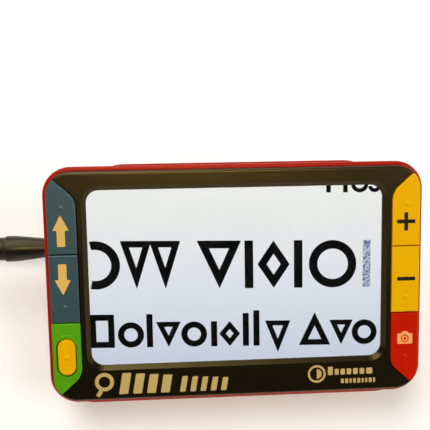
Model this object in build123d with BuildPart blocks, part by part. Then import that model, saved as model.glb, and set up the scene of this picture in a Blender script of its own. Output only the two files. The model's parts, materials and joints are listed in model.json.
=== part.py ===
from build123d import *
import os
from math import atan2, cos, degrees, hypot, pi, radians, sin, tan

# Hand-held video magnifier standing on its fold-out reading stand.
#
# The device is drawn flat in its own frame: X to the right, Y up the screen, Z out of the screen,
# with z = 0 on the back of the casing. DEVICE is that frame, leaning back on its stand, in the
# row's frame: X to the right, Y away from the reader, Z up, z = 0 on the table.

# ---------------------------------------------------------------- driving dimensions (mm)
WIDTH = 139.7            # casing, over the rim
HEIGHT = 87.8
CORNER = 10.3            # outline corner radius
TILT = 25.0              # lean of the screen on its stand, degrees
DEPTH_SHIFT = 0.67       # puts the row's origin under the middle of the standing device
WALL = 2.0

BACK_INSET = 4.0         # the casing tapers in towards its back by this much
SIDE_INSET = 0.9
BACK_ROUND = 5.0
BELLY_TOP = 15.8         # top of the tapered belly
NECK_INSET = 1.5         # groove behind the rim bead
SWELL_DEPTH = 5.5        # shallow swells of the belly along its top and bottom edges
SWELL_TOP = 0.5          # how far they reach past the rim
SWELL_BOTTOM = 1.9
SWELL_ROUND = 0.8
RIM_BOTTOM = 16.6
RIM_TOP = 19.6
RIM_ROUND = 1.1
RIM_WALL = 1.5           # rim seen round the black front
SHELF = 18.4             # ledge that the front sits on
CAVITY_INSET = 2.3

FRONT_GAP = 0.2          # between rim and front
FRONT_TOP = 22.4
FRONT_BOTTOM = 18.5
FRONT_PLATE = 2.0
FRONT_ROUND = 1.0
SKIRT_BOTTOM = 15.5
SKIRT_INSET = 3.2
SKIRT_WALL = 1.2

SCREEN_W = 108.2         # visible screen
SCREEN_H = 64.7
SCREEN_Y = 3.05
SCREEN_CORNER = 4.6
SCREEN_BEVEL = 1.5
HOLLOW_W = 112.0         # room behind the front for window and panel
HOLLOW_H = 69.6
PANEL_W = 111.6
PANEL_H = 69.0

COLUMN_X = 57.5          # inner edge of the two key columns
COLUMN_CORNER_Y = 32.6   # where that edge turns out towards the casing's corner
COLUMN_SLOPE = 41.8      # degrees
COLUMN_ROUND = 7.0
TIP_ROUND = 0.9
DIVIDER_Y = 12.55        # height of the divisions between keys, above and below the middle
KEY_GAP = 0.4
KEY_SPLIT = 0.35
KEY_EDGE = 0.25          # from key to the front's outline
KEY_TOP = 22.6
KEY_BOTTOM = 20.0
KEY_ROUND = 0.45
KEY_TRAVEL = 0.7
KEY_STEM_R = 1.8
STEM_BOTTOM = 17.7
KEY_X = 62.8             # middle of a column
DECK_TOP = 19.2          # floor under the keys
DOT_R = 1.0
DOT_H = 0.35
POWER_Y = -25.3
POWER_L = 13.7
POWER_W = 6.6
POWER_TOP = 23.0

HINGE_Y = 33.0           # stand hinge
HINGE_Z = 2.9
BARREL_R = 2.3
STAND_W = 82.0
STAND_T = 3.6
STAND_ROUND = 9.0
STAND_SLOT_W = 62.0      # window in the stand, round the camera
STAND_SLOT_TOP = 7.5
STAND_SLOT_BOTTOM = 25.0
POCKET_GAP = 0.4
POCKET_TOP = 5.5         # depth of the stand's pocket
PIN_R = 1.0
PIN_L = 8.4
PIN_RUN = 0.05           # running clearance of stand on pin
PIN_HOLD = 0.02          # pin in the casing

CAMERA_Y = 14.0
LAMP_X = 20.0
SCREW_X = 60.3
SCREW_Y = 34.3
STANDOFF_X = 50.0
STANDOFF_Y = 32.0
BOARD_BOTTOM = 12.2
BOARD_T = 1.2

PLUG_Y = 13.2            # power plug's axis on the left side
PLUG_Z = 9.0
PLUG_FACE = -68.7
PLUG_TRAVEL = 12.0
BARREL_PLUG_R = 1.75
BARREL_PLUG_L = 10.5

FOOT_STAND_OFF = 0.8     # rubber below the casing
FOOT_X = 44.0
FOOT_L = 20.0
FOOT_W = 5.0
FOOT_H = 1.5
PAD_T = 1.5

CORD_D = 3.6
TIE_T = 0.7
COIL_X = -133.0
COIL_Y = -27.0
COIL_COLUMNS = 6         # turns side by side
COIL_LAYERS = 2
COIL_MID_R = 20.0
COIL_TURNS = 11

# ---------------------------------------------------------------- worked out from them
lean = radians(TILT)
taper = atan2(BACK_INSET - SIDE_INSET, BELLY_TOP)
round_run = BACK_ROUND / tan((pi / 2 + taper) / 2)
round_y = -HEIGHT / 2 + BACK_INSET + round_run
LIFT = FOOT_STAND_OFF + BACK_ROUND - round_y * sin(lean) - BACK_ROUND * cos(lean)

DEVICE = Plane(origin=(0, DEPTH_SHIFT, LIFT), x_dir=(1, 0, 0), z_dir=(0, -sin(lean), cos(lean)))
DEVICE_Z = Axis(DEVICE.origin, DEVICE.z_dir)
TABLE = Plane.XY

FOOT_Y = DEPTH_SHIFT + round_y * cos(lean) - BACK_ROUND * sin(lean)

COIL_R_OUT = COIL_MID_R + COIL_COLUMNS * CORD_D / 2
COIL_R_IN = COIL_MID_R - COIL_COLUMNS * CORD_D / 2
COIL_H = COIL_LAYERS * CORD_D
COIL_TOP = TIE_T + COIL_H


def at(z):
    """Plane parallel to the screen, z above the casing's back."""
    return DEVICE.offset(z)


def on_device(plane):
    """A plane given in the device's own frame."""
    return Plane(DEVICE.location * plane.location)


def row_point(x, y, z):
    """A point of the device's own frame, in the row's frame."""
    return DEVICE.from_local_coords(Vector(x, y, z))


def finish(builder, label):
    """Names a finished piece and writes it."""
    builder.part.label = label
    export_step(builder.part, f"parts/{label}.step")


def casing_outline(inset):
    RectangleRounded(WIDTH - 2 * inset, HEIGHT - 2 * inset, CORNER - inset)


def front_outline(inset=0.0):
    casing_outline(RIM_WALL + FRONT_GAP + inset)


def screen_outline(grow=0.0):
    with Locations((0, SCREEN_Y)):
        RectangleRounded(SCREEN_W + 2 * grow, SCREEN_H + 2 * grow, SCREEN_CORNER + grow)


def box_between(low, high, mode=Mode.ADD):
    """A box of the device's frame between two corners."""
    size = [b - a for a, b in zip(low, high)]
    middle = [(a + b) / 2 for a, b in zip(low, high)]
    with Locations(tuple(middle)):
        Box(*size, mode=mode)


def posts(points, low, high, radius, mode=Mode.ADD):
    """Round posts or holes, square to the screen, at points of the device's frame."""
    with BuildSketch(at(low)) as discs:
        with Locations(*points):
            Circle(radius)
    extrude(discs.sketch, amount=high - low, mode=mode)


def four_corners(x, y):
    return [(x, y), (-x, y), (x, -y), (-x, -y)]


def key_column(side, grow=0.0):
    """Face of the left (-1) or right (+1) key column, running out into the casing's corners."""
    far = WIDTH / 2 + 5
    far_y = COLUMN_CORNER_Y + (far - COLUMN_X) * tan(radians(COLUMN_SLOPE))
    with BuildSketch(Plane.XY, mode=Mode.PRIVATE) as column:
        front_outline(KEY_EDGE)
        with BuildLine():
            Polyline(
                (side * COLUMN_X, -COLUMN_CORNER_Y),
                (side * COLUMN_X, COLUMN_CORNER_Y),
                (side * far, far_y),
                (side * far, -far_y),
                close=True,
            )
        make_face(mode=Mode.INTERSECT)
        fillet(column.vertices().sort_by(lambda v: abs(v.X))[:2], COLUMN_ROUND)
        fillet(column.vertices().sort_by(lambda v: -abs(v.Y))[:2], TIP_ROUND)
        if grow:
            offset(amount=grow)
    return column.sketch


def key_face(side, low, high):
    """Part of a key column between two heights."""
    with BuildSketch(Plane.XY, mode=Mode.PRIVATE) as face:
        add(key_column(side))
        with Locations((side * KEY_X, (low + high) / 2)):
            Rectangle(30, high - low, mode=Mode.INTERSECT)
    return face.sketch


def foot_blocks(grow=0.0):
    """Blocks lying on the table under the casing's rounded lower edge."""
    with BuildPart(mode=Mode.PRIVATE) as blocks:
        with Locations((-FOOT_X, FOOT_Y, FOOT_H / 2), (FOOT_X, FOOT_Y, FOOT_H / 2)):
            Box(FOOT_L + grow, FOOT_W + grow, FOOT_H + grow)
    return blocks.part


def dot(x, y, z):
    """Small raised dot to feel for."""
    ball = (DOT_R**2 + DOT_H**2) / (2 * DOT_H)
    with Locations((x, y, z + DOT_H - ball)):
        Sphere(ball, arc_size1=0, align=Align.NONE)


TOP_END = HEIGHT / 2
KEY_BANDS = {
    "top": (DIVIDER_Y + KEY_SPLIT / 2, TOP_END),
    "middle": (-DIVIDER_Y + KEY_SPLIT / 2, DIVIDER_Y - KEY_SPLIT / 2),
    "bottom": (-TOP_END, -DIVIDER_Y - KEY_SPLIT / 2),
}
SWITCH_Y = {"top": 23.5, "middle": 0.0, "bottom": POWER_Y}
SWITCH_POINTS = [(side * KEY_X, y) for side in (-1, 1) for y in SWITCH_Y.values()]

os.makedirs("parts", exist_ok=True)

# ---------------------------------------------------------------- rear casing
POCKET_HALF = STAND_W / 2 + POCKET_GAP
POCKET_HIGH = HINGE_Y + BARREL_R + 0.35
FOOT_REACH = (LIFT + (HINGE_Y + BARREL_R) * sin(lean)) / cos(lean) + HINGE_Z
POCKET_LOW = HINGE_Y - FOOT_REACH - POCKET_GAP
TRAY_TOP = POCKET_TOP + 1.8
CHEEK = 4.0              # wall beside the pocket, holding a hinge pin


def edge_swell(half, reach, y_sign):
    """Shallow swell of the belly past the rim, along the top or bottom edge."""
    base = HEIGHT / 2 - SIDE_INSET - 2
    with BuildSketch(at(BELLY_TOP - SWELL_DEPTH)) as swell:
        with BuildLine():
            Polyline(
                (-half - 9, y_sign * base),
                (-half, y_sign * (HEIGHT / 2 + reach)),
                (half, y_sign * (HEIGHT / 2 + reach)),
                (half + 9, y_sign * base),
                close=True,
            )
        make_face()
        fillet(swell.vertices().sort_by(lambda v: -abs(v.Y))[:2], 12)
    extrude(swell.sketch, amount=SWELL_DEPTH)


with BuildPart(DEVICE) as rear_casing:
    with BuildSketch(at(0)):
        casing_outline(BACK_INSET)
    with BuildSketch(at(BELLY_TOP)):
        casing_outline(SIDE_INSET)
    loft()
    fillet(rear_casing.faces().sort_by(DEVICE_Z)[0].edges(), BACK_ROUND)
    edge_swell(43.5, SWELL_TOP, 1)
    edge_swell(57.0, SWELL_BOTTOM, -1)
    swell_rims = rear_casing.edges().filter_by(
        lambda e: abs(DEVICE.to_local_coords(e.center()).Y) > HEIGHT / 2 + SWELL_ROUND
    )
    fillet(swell_rims, SWELL_ROUND)
    with BuildSketch(at(BELLY_TOP)):
        casing_outline(NECK_INSET)
    extrude(amount=RIM_BOTTOM - BELLY_TOP)
    with BuildSketch(at(RIM_BOTTOM)):
        casing_outline(0)
    extrude(amount=RIM_TOP - RIM_BOTTOM)
    rim_faces = rear_casing.faces().filter_by(DEVICE_Z).group_by(DEVICE_Z)
    fillet(rim_faces[-1].edges(), RIM_ROUND)
    # hollow for the works, and the ledge for the front
    with BuildSketch(at(WALL)):
        casing_outline(BACK_INSET + WALL)
    with BuildSketch(at(SHELF)):
        casing_outline(CAVITY_INSET)
    loft(mode=Mode.SUBTRACT)
    with BuildSketch(at(SHELF)):
        casing_outline(RIM_WALL)
    extrude(amount=RIM_TOP - SHELF, mode=Mode.SUBTRACT)
    # tray over the stand's pocket, and the pocket itself
    box_between(
        (-POCKET_HALF - CHEEK, POCKET_LOW - WALL, WALL / 2),
        (POCKET_HALF + CHEEK, POCKET_HIGH + 1.6, TRAY_TOP),
    )
    box_between(
        (-POCKET_HALF, POCKET_LOW, -1),
        (POCKET_HALF, POCKET_HIGH, POCKET_TOP),
        mode=Mode.SUBTRACT,
    )
    # finger scoop below the pocket
    with BuildSketch(at(-1)):
        with Locations((0, POCKET_LOW + 1)):
            SlotOverall(30, 14)
    extrude(amount=1 + WALL - 0.7, mode=Mode.SUBTRACT)
    # hinge pin holes in the cheeks
    with BuildSketch(on_device(Plane.YZ.offset(-POCKET_HALF - CHEEK + 0.6))):
        with Locations((HINGE_Y, HINGE_Z)):
            Circle(PIN_R + PIN_HOLD)
    extrude(amount=2 * (POCKET_HALF + CHEEK - 0.6), mode=Mode.SUBTRACT)
    # camera port and two lamp ports, each with a seat for its window
    posts([(0, CAMERA_Y)], POCKET_TOP - 1, TRAY_TOP + 1, 5.8, Mode.SUBTRACT)
    posts([(0, CAMERA_Y)], POCKET_TOP - 1, POCKET_TOP + 0.9, 7.25, Mode.SUBTRACT)
    lamp_points = [(-LAMP_X, CAMERA_Y), (LAMP_X, CAMERA_Y)]
    posts(lamp_points, POCKET_TOP - 1, TRAY_TOP + 1, 2.6, Mode.SUBTRACT)
    posts(lamp_points, POCKET_TOP - 1, POCKET_TOP + 0.9, 3.45, Mode.SUBTRACT)
    # screw posts for the front, open from the back, and standoffs for the main board
    posts(four_corners(SCREW_X, SCREW_Y), WALL / 2, 10.0, 3.4)
    posts(four_corners(SCREW_X, SCREW_Y), -1, 4.6, 2.4, Mode.SUBTRACT)
    posts(four_corners(SCREW_X, SCREW_Y), 4, 11, 1.3, Mode.SUBTRACT)
    posts(four_corners(STANDOFF_X, STANDOFF_Y), WALL / 2, BOARD_BOTTOM, 2.4)
    posts(four_corners(STANDOFF_X, STANDOFF_Y), 7.5, BOARD_BOTTOM + 1, 0.95, Mode.SUBTRACT)
    # battery fence
    box_between((-44.0, -38.0, WALL / 2), (-42.6, -8.2, 8.0))
    box_between((42.6, -38.0, WALL / 2), (44.0, -8.2, 8.0))
    # seats for the rubber feet
    with Locations(DEVICE.location.inverse()):
        add(foot_blocks(0.04), mode=Mode.SUBTRACT)
    # power jack hole
    with BuildSketch(on_device(Plane.YZ.offset(-WIDTH / 2 - 1))):
        with Locations((PLUG_Y, PLUG_Z)):
            Circle(2.5)
    extrude(amount=10, mode=Mode.SUBTRACT)
finish(rear_casing, "rear_casing")

# ---------------------------------------------------------------- black front
with BuildPart(DEVICE) as front_bezel:
    with BuildSketch(at(FRONT_BOTTOM)):
        front_outline()
    extrude(amount=FRONT_TOP - FRONT_BOTTOM)
    fillet(front_bezel.faces().sort_by(DEVICE_Z)[-1].edges(), FRONT_ROUND)
    # skirt that locates it in the casing
    with BuildSketch(at(SKIRT_BOTTOM)):
        casing_outline(SKIRT_INSET)
    extrude(amount=FRONT_BOTTOM - SKIRT_BOTTOM)
    with BuildSketch(at(SKIRT_BOTTOM)):
        casing_outline(SKIRT_INSET + SKIRT_WALL)
    extrude(amount=FRONT_BOTTOM - SKIRT_BOTTOM, mode=Mode.SUBTRACT)
    # room for window and panel behind the face
    with BuildSketch(at(FRONT_BOTTOM)):
        with Locations((0, SCREEN_Y)):
            RectangleRounded(HOLLOW_W, HOLLOW_H, 1.5)
    extrude(amount=FRONT_TOP - FRONT_PLATE - FRONT_BOTTOM, mode=Mode.SUBTRACT)
    # bevelled opening for the screen
    with BuildSketch(at(FRONT_BOTTOM)):
        screen_outline()
    extrude(amount=FRONT_TOP - FRONT_BOTTOM, mode=Mode.SUBTRACT)
    with BuildSketch(at(FRONT_TOP - SCREEN_BEVEL)):
        screen_outline()
    with BuildSketch(at(FRONT_TOP)):
        screen_outline(SCREEN_BEVEL)
    loft(mode=Mode.SUBTRACT)
    # trays for the keys, with a hole in the floor for each key's stem
    with BuildSketch(at(DECK_TOP)):
        for side in (-1, 1):
            add(key_column(side, KEY_GAP))
    extrude(amount=FRONT_TOP - DECK_TOP + 1, mode=Mode.SUBTRACT)
    posts(SWITCH_POINTS, FRONT_BOTTOM - 1, DECK_TOP + 1, KEY_STEM_R + 0.4, Mode.SUBTRACT)
    # posts that take the casing screws
    posts(four_corners(SCREW_X, SCREW_Y), 10.3, FRONT_BOTTOM + 0.2, 2.7)
    posts(four_corners(SCREW_X, SCREW_Y), 9, 17.0, 0.95, Mode.SUBTRACT)
finish(front_bezel, "front_bezel")

with BuildPart(DEVICE) as power_surround:
    low, high = KEY_BANDS["bottom"]
    with BuildSketch(at(DECK_TOP + 0.05)):
        add(key_face(-1, low, high))
    extrude(amount=KEY_TOP - DECK_TOP - 0.05)
    fillet(power_surround.faces().sort_by(DEVICE_Z)[-1].edges(), KEY_ROUND)
    # raised ring round the power key
    with BuildSketch(at(KEY_TOP - 0.2)):
        with Locations((-KEY_X, POWER_Y)):
            SlotOverall(POWER_L + 3.4, POWER_W + 3.4, rotation=90)
    extrude(amount=0.55)
    fillet(power_surround.faces().sort_by(DEVICE_Z)[-1].edges(), 0.3)
    with BuildSketch(at(DECK_TOP - 1)):
        with Locations((-KEY_X, POWER_Y)):
            SlotOverall(POWER_L + 0.8, POWER_W + 0.8, rotation=90)
    extrude(amount=6, mode=Mode.SUBTRACT)
finish(power_surround, "power_surround")


# ---------------------------------------------------------------- keys
def write_key(label, side, band, dot_y=None):
    """One key cap with its stem, and a dot to feel for where it has one."""
    low, high = KEY_BANDS[band]
    with BuildPart(DEVICE) as key:
        with BuildSketch(at(KEY_BOTTOM)):
            add(key_face(side, low, high))
        extrude(amount=KEY_TOP - KEY_BOTTOM)
        fillet(key.faces().sort_by(DEVICE_Z)[-1].edges(), KEY_ROUND)
        posts([(side * KEY_X, SWITCH_Y[band])], STEM_BOTTOM, KEY_BOTTOM, KEY_STEM_R)
        if dot_y is not None:
            dot(side * KEY_X, dot_y, KEY_TOP)
    finish(key, label)


write_key("colour_up_key", -1, "top", 29.4)
write_key("colour_down_key", -1, "middle", -6.7)
write_key("zoom_in_key", 1, "top", 28.3)
write_key("zoom_out_key", 1, "middle", -6.5)
write_key("freeze_key", 1, "bottom", -29.5)

with BuildPart(DEVICE) as power_key:
    with BuildSketch(at(KEY_BOTTOM)):
        with Locations((-KEY_X, POWER_Y)):
            SlotOverall(POWER_L, POWER_W, rotation=90)
    extrude(amount=POWER_TOP - KEY_BOTTOM)
    fillet(power_key.faces().sort_by(DEVICE_Z)[-1].edges(), 0.8)
    posts([(-KEY_X, POWER_Y)], STEM_BOTTOM, KEY_BOTTOM, KEY_STEM_R)
    dot(-KEY_X, POWER_Y, POWER_TOP)
finish(power_key, "power_key")

# ---------------------------------------------------------------- screen
WINDOW_TOP = FRONT_TOP - FRONT_PLATE
WINDOW_T = 1.1
PANEL_TOP = WINDOW_TOP - WINDOW_T - 0.1
PANEL_T = 1.5
BACKLIGHT_T = 1.7


def screen_layer(label, top, thickness, width, height, corner):
    with BuildPart(DEVICE) as layer:
        with BuildSketch(at(top - thickness)):
            with Locations((0, SCREEN_Y)):
                RectangleRounded(width, height, corner)
        extrude(amount=thickness)
    finish(layer, label)


screen_layer("screen_window", WINDOW_TOP, WINDOW_T, HOLLOW_W - 0.4, HOLLOW_H - 0.4, 1.3)
screen_layer("lcd_panel", PANEL_TOP, PANEL_T, PANEL_W, PANEL_H, 1.3)
screen_layer("backlight_unit", PANEL_TOP - PANEL_T, BACKLIGHT_T, PANEL_W, PANEL_H, 1.3)

# ---------------------------------------------------------------- electronics
BOARD_TOP = BOARD_BOTTOM + BOARD_T
with BuildPart(DEVICE) as main_board:
    with BuildSketch(at(BOARD_BOTTOM)):
        RectangleRounded(110, 72, 2)
        with Locations(*four_corners(STANDOFF_X, STANDOFF_Y)):
            Circle(1.2, mode=Mode.SUBTRACT)
        with Locations((0, -36)):
            Rectangle(30, 5, mode=Mode.SUBTRACT)
    extrude(amount=BOARD_T)
finish(main_board, "main_board")

# processor, memory, video chip, charger chip, coils and the display socket: x, y, width, depth, height
CHIPS = [
    (-16, 12, 14, 14, 1.3),
    (2, 14, 10, 12, 1.1),
    (18, 6, 9, 9, 1.0),
    (-38, 14, 7, 7, 0.9),
    (-38, 2, 6, 6, 1.6),
    (-29, 2, 6, 6, 1.6),
    (0, -28, 20, 4.5, 1.4),
    (38, -18, 8, 5, 1.2),
]
with BuildPart(DEVICE) as board_chips:
    for x, y, width, depth, height in CHIPS:
        box_between(
            (x - width / 2, y - depth / 2, BOARD_TOP),
            (x + width / 2, y + depth / 2, BOARD_TOP + height),
        )
finish(board_chips, "board_chips")

with BuildPart(DEVICE) as board_screws:
    posts(four_corners(STANDOFF_X, STANDOFF_Y), BOARD_TOP, BOARD_TOP + 1.1, 1.9)
    posts(four_corners(STANDOFF_X, STANDOFF_Y), 8.0, BOARD_TOP, 0.9)
finish(board_screws, "board_screws")

with BuildPart(DEVICE) as battery_pack:
    with BuildSketch(on_device(Plane.YZ.offset(-42))):
        with Locations((-23.0, 6.2)):
            RectangleRounded(28.6, 8.0, 1.8)
    extrude(amount=84)
finish(battery_pack, "battery_pack")

RIBBON_T = 0.25
with BuildPart(DEVICE) as display_ribbon:
    with BuildSketch(on_device(Plane.YZ.offset(-9))):
        with BuildLine():
            ribbon_path = FilletPolyline(
                (-31.0, PANEL_TOP - PANEL_T - BACKLIGHT_T - 0.5),
                (-35.6, PANEL_TOP - PANEL_T - BACKLIGHT_T - 0.5),
                (-35.6, BOARD_TOP + 0.3),
                (-30.6, BOARD_TOP + 0.3),
                radius=0.8,
            )
            offset(amount=RIBBON_T, side=Side.RIGHT)
        make_face()
    extrude(amount=18)
finish(display_ribbon, "display_ribbon")

for side, label in ((-1, "left_switch_board"), (1, "right_switch_board")):
    with BuildPart(DEVICE) as switch_board:
        box_between(
            (side * KEY_X - 2.7, -30.5, 14.4),
            (side * KEY_X + 2.7, 30.5, 15.5),
        )
    finish(switch_board, label)

with BuildPart(DEVICE) as key_switches:
    for x, y in SWITCH_POINTS:
        box_between((x - 2.2, y - 2.2, 15.5), (x + 2.2, y + 2.2, 16.4))
    posts(SWITCH_POINTS, 16.4, 16.9, 1.1)
finish(key_switches, "key_switches")

# ---------------------------------------------------------------- camera, lamps
with BuildPart(DEVICE) as camera_window:
    posts([(0, CAMERA_Y)], POCKET_TOP, POCKET_TOP + 0.85, 7.1)
finish(camera_window, "camera_window")

with BuildPart(DEVICE) as camera_ring:
    posts([(0, CAMERA_Y)], POCKET_TOP - 0.6, POCKET_TOP - 0.02, 9.2)
    fillet(camera_ring.faces().sort_by(DEVICE_Z)[0].edges(), 0.4)
    posts([(0, CAMERA_Y)], POCKET_TOP - 2, POCKET_TOP + 1, 6.6, Mode.SUBTRACT)
finish(camera_ring, "camera_ring")

with BuildPart(DEVICE) as lamp_windows:
    posts([(-LAMP_X, CAMERA_Y), (LAMP_X, CAMERA_Y)], POCKET_TOP, POCKET_TOP + 0.85, 3.3)
finish(lamp_windows, "lamp_windows")

with BuildPart(DEVICE) as camera_holder:
    box_between((-9, CAMERA_Y - 9, TRAY_TOP), (9, CAMERA_Y + 9, 10.6))
    posts([(0, CAMERA_Y)], TRAY_TOP - 1, 12, 5.4, Mode.SUBTRACT)
finish(camera_holder, "camera_holder")

with BuildPart(DEVICE) as camera_barrel:
    posts([(0, CAMERA_Y)], 7.0, 10.5, 5.2)
    posts([(0, CAMERA_Y)], 6, 9.2, 3.6, Mode.SUBTRACT)
    posts([(0, CAMERA_Y)], 9, 12, 3.3, Mode.SUBTRACT)
finish(camera_barrel, "camera_barrel")

with BuildPart(DEVICE) as camera_lens:
    posts([(0, CAMERA_Y)], 7.9, 9.1, 3.5)
    with Locations((0, CAMERA_Y, 11.4)):
        Sphere(4.4, mode=Mode.INTERSECT)
finish(camera_lens, "camera_lens")

with BuildPart(DEVICE) as camera_sensor:
    box_between((-9, CAMERA_Y - 8, 10.65), (9, CAMERA_Y + 8, 11.5))
    box_between((-2.2, CAMERA_Y - 2.2, 9.9), (2.2, CAMERA_Y + 2.2, 10.65))
finish(camera_sensor, "camera_sensor")

with BuildPart(DEVICE) as lamp_boards:
    for x in (-LAMP_X, LAMP_X):
        box_between((x - 5.5, CAMERA_Y - 4, 8.6), (x + 5.5, CAMERA_Y + 4, 9.6))
        box_between((x - 1.7, CAMERA_Y - 1.7, 7.9), (x + 1.7, CAMERA_Y + 1.7, 8.6))
        for edge in (-4.6, 4.6):
            posts([(x + edge, CAMERA_Y)], TRAY_TOP, 8.6, 0.7)
finish(lamp_boards, "lamp_boards")

# ---------------------------------------------------------------- power jack
JACK_FACE = -64.2
with BuildPart(DEVICE) as power_jack:
    box_between((JACK_FACE, PLUG_Y - 4, 5.8), (-55.5, PLUG_Y + 4, 12.1))
    with BuildSketch(on_device(Plane.YZ.offset(JACK_FACE - 1))):
        with Locations((PLUG_Y, PLUG_Z)):
            Circle(BARREL_PLUG_R + 0.06)
    extrude(amount=8.5, mode=Mode.SUBTRACT)
finish(power_jack, "power_jack")

# ---------------------------------------------------------------- casing screws, hinge pins, feet
with BuildPart(DEVICE) as case_screws:
    posts(four_corners(SCREW_X, SCREW_Y), 3.0, 4.6, 2.1)
    posts(four_corners(SCREW_X, SCREW_Y), 2.0, 3.7, 0.9, Mode.SUBTRACT)
    posts(four_corners(SCREW_X, SCREW_Y), 4.6, 16.5, 0.93)
finish(case_screws, "case_screws")

PIN_OUT = POCKET_HALF + CHEEK - 0.8
with BuildPart(DEVICE) as hinge_pins:
    with BuildSketch(on_device(Plane.YZ.offset(-PIN_OUT))):
        with Locations((HINGE_Y, HINGE_Z)):
            Circle(PIN_R)
    extrude(amount=PIN_L)
    with BuildSketch(on_device(Plane.YZ.offset(PIN_OUT - PIN_L))):
        with Locations((HINGE_Y, HINGE_Z)):
            Circle(PIN_R)
    extrude(amount=PIN_L)
finish(hinge_pins, "hinge_pins")

with BuildPart() as rubber_feet:
    add(foot_blocks())
    fillet(rubber_feet.edges().filter_by(Axis.Z), 1.2)
    fillet(rubber_feet.faces().sort_by(Axis.Z)[0].edges(), 0.3)
    fillet(rubber_feet.faces().sort_by(Axis.Z)[-2:].edges(), 0.3)
finish(rubber_feet, "rubber_feet")

# ---------------------------------------------------------------- stand
stand_plane = on_device(
    Plane(origin=(0, HINGE_Y + BARREL_R - STAND_T, 0), x_dir=(1, 0, 0), z_dir=(0, 1, 0))
)


def hinge_rod(half, radius, mode=Mode.ADD):
    """Round bar or bore along the stand's hinge, out to half each side."""
    with BuildSketch(on_device(Plane.YZ.offset(-half))) as disc:
        with Locations((HINGE_Y, HINGE_Z)):
            Circle(radius)
    extrude(disc.sketch, amount=2 * half, mode=mode)


def stand_plate(half_width, top, slot=False):
    """Plate of the stand from top, measured down from the casing's back, past the table."""
    bottom = FOOT_REACH - HINGE_Z + 2
    with BuildSketch(stand_plane) as plate:
        with Locations((0, (top + bottom) / 2)):
            Rectangle(2 * half_width, bottom - top)
        fillet(plate.vertices().group_by(Axis.Y)[-1], STAND_ROUND)
        if slot:
            with Locations((0, (STAND_SLOT_TOP + STAND_SLOT_BOTTOM) / 2)):
                RectangleRounded(
                    STAND_SLOT_W, STAND_SLOT_BOTTOM - STAND_SLOT_TOP, 5, mode=Mode.SUBTRACT
                )
    extrude(plate.sketch, amount=STAND_T)


with BuildPart(DEVICE) as stand_frame:
    stand_plate(STAND_W / 2, -HINGE_Z, slot=True)
    plate_faces = stand_frame.faces().filter_by(on_device(Plane.XZ))
    fillet(plate_faces.sort_by(SortBy.AREA)[-2:].edges(), 0.6)
    hinge_rod(STAND_W / 2, BARREL_R)
    hinge_rod(WIDTH, PIN_R + PIN_RUN, Mode.SUBTRACT)
    split(bisect_by=Plane.XY.offset(PAD_T), keep=Keep.TOP)
finish(stand_frame, "stand_frame")

with BuildPart(DEVICE) as stand_pad:
    stand_plate(STAND_W / 2 - 2, STAND_SLOT_BOTTOM + 2)
    split(bisect_by=Plane.XY.offset(PAD_T), keep=Keep.BOTTOM)
    split(bisect_by=Plane.XY, keep=Keep.TOP)
finish(stand_pad, "stand_pad")

# ---------------------------------------------------------------- power plug
MOULD_END = -86.4
COLLAR_END = -92.0
RELIEF_END = -107.0
RELIEF_R = 3.1
RELIEF_TIP_R = 2.3
RELIEF_GROOVES = 5
PLUG_AXIS = Axis(row_point(0, PLUG_Y, PLUG_Z), (1, 0, 0))
plug_plane = on_device(Plane(origin=(0, PLUG_Y, PLUG_Z), x_dir=(1, 0, 0), z_dir=(0, 0, 1)))

with BuildPart(DEVICE) as plug_pin:
    tip = PLUG_FACE + BARREL_PLUG_L
    with BuildSketch(plug_plane):
        with BuildLine():
            Polyline(
                (PLUG_FACE - 5, 0),
                (PLUG_FACE - 5, BARREL_PLUG_R),
                (tip - 0.4, BARREL_PLUG_R),
                (tip, BARREL_PLUG_R - 0.3),
                (tip, 0.6),
                (tip - 6, 0.6),
                (tip - 6, 0),
                close=True,
            )
        make_face()
    revolve(axis=PLUG_AXIS)
finish(plug_pin, "plug_pin")

with BuildPart(DEVICE) as plug_body:
    with BuildSketch(plug_plane):
        with BuildLine():
            Line((PLUG_FACE, BARREL_PLUG_R), (PLUG_FACE, 3.3))
            Spline((PLUG_FACE, 3.3), (-72.2, 3.7), (-77.2, 4.3), (-81.5, 4.75), (MOULD_END + 0.5, 4.85))
            Line((MOULD_END + 0.5, 4.85), (MOULD_END, 4.4))
            Line((MOULD_END, 4.4), (COLLAR_END + 0.6, 4.3))
            Line((COLLAR_END + 0.6, 4.3), (COLLAR_END, 3.7))
            Line((COLLAR_END, 3.7), (COLLAR_END, 0))
            Line((COLLAR_END, 0), (PLUG_FACE - 5, 0))
            Line((PLUG_FACE - 5, 0), (PLUG_FACE - 5, BARREL_PLUG_R))
            Line((PLUG_FACE - 5, BARREL_PLUG_R), (PLUG_FACE, BARREL_PLUG_R))
        make_face()
    revolve(axis=PLUG_AXIS)
finish(plug_body, "plug_body")

with BuildPart(DEVICE) as plug_relief:
    with BuildSketch(plug_plane):
        with BuildLine():
            Polyline(
                (COLLAR_END, 0),
                (COLLAR_END, RELIEF_R),
                (RELIEF_END, RELIEF_TIP_R),
                (RELIEF_END, 0),
                close=True,
            )
        make_face()
        # ring grooves that let it bend
        for index in range(RELIEF_GROOVES):
            x = COLLAR_END - 2.2 - 2.5 * index
            with Locations((x, RELIEF_R - 0.05 * (COLLAR_END - x))):
                Rectangle(1.1, 1.2, mode=Mode.SUBTRACT)
    revolve(axis=PLUG_AXIS)
finish(plug_relief, "plug_relief")

# ---------------------------------------------------------------- cord
CORD_R = CORD_D / 2
FLOOR_Z = TIE_T + CORD_R             # height of the coil's lowest turns
exit_point = row_point(RELIEF_END, PLUG_Y, PLUG_Z)
COIL_OUTER = COIL_R_OUT - CORD_R     # middle of the outermost turn

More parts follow.
